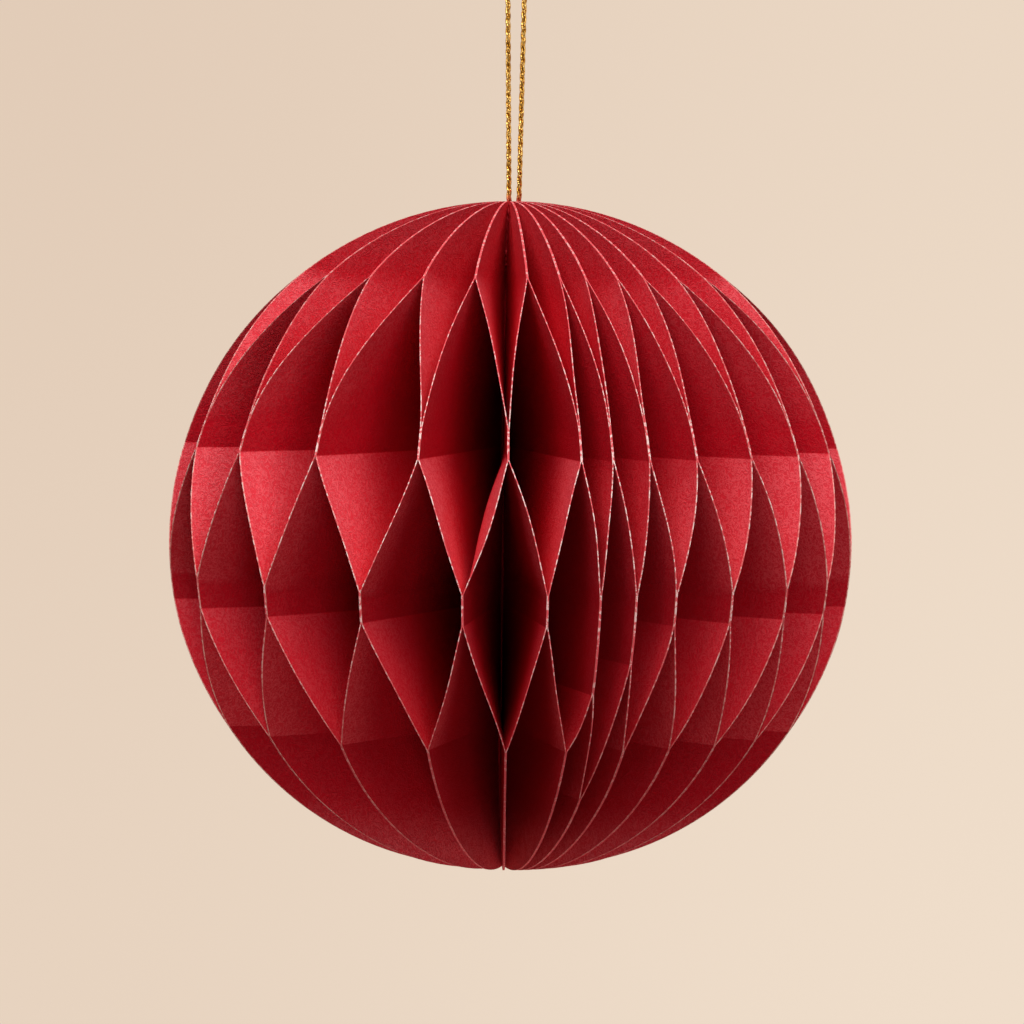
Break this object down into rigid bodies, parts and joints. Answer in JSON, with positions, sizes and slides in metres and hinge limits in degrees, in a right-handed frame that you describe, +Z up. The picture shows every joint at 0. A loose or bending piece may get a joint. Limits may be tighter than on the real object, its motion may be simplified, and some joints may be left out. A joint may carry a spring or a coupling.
{
  "type": "honeycomb paper ball",
  "caption": "Hanging ball of paper leaves glued in alternating strips, opened into diamond cells round a hollow core, on a loop of metallic cord",
  "frame": {"origin": "half way up the ball, on its upright axis", "axes": "+Z up along the axis and the cord, -Y to the front of the ball, +X to the right"},
  "size_m": [0.0998, 0.0999, 0.1343],
  "materials": {
    "paper": "matt red paper with pale cut edges",
    "cord": "twisted metallic gold cord"
  },
  "bodies": {
    "root": {"paper_leaf_01": "paper", "paper_leaf_02": "paper", "paper_leaf_03": "paper", "paper_leaf_04": "paper", "paper_leaf_05": "paper", "paper_leaf_06": "paper", "paper_leaf_07": "paper", "paper_leaf_08": "paper", "paper_leaf_09": "paper", "paper_leaf_10": "paper", "paper_leaf_11": "paper", "paper_leaf_12": "paper", "paper_leaf_13": "paper", "paper_leaf_14": "paper", "paper_leaf_15": "paper", "paper_leaf_16": "paper", "paper_leaf_17": "paper", "paper_leaf_18": "paper", "paper_leaf_19": "paper", "paper_leaf_20": "paper", "paper_leaf_21": "paper", "paper_leaf_22": "paper", "paper_leaf_23": "paper", "paper_leaf_24": "paper", "paper_leaf_25": "paper", "paper_leaf_26": "paper", "paper_leaf_27": "paper", "paper_leaf_28": "paper", "paper_leaf_29": "paper", "paper_leaf_30": "paper", "paper_leaf_31": "paper", "paper_leaf_32": "paper", "paper_leaf_33": "paper", "paper_leaf_34": "paper", "paper_leaf_35": "paper", "paper_leaf_36": "paper", "paper_leaf_37": "paper", "paper_leaf_38": "paper", "paper_leaf_39": "paper", "paper_leaf_40": "paper", "paper_leaf_41": "paper", "paper_leaf_42": "paper", "paper_leaf_43": "paper", "paper_leaf_44": "paper", "hanging_cord": "cord", "cord_knot": "cord"}
  },
  "joints": []
}
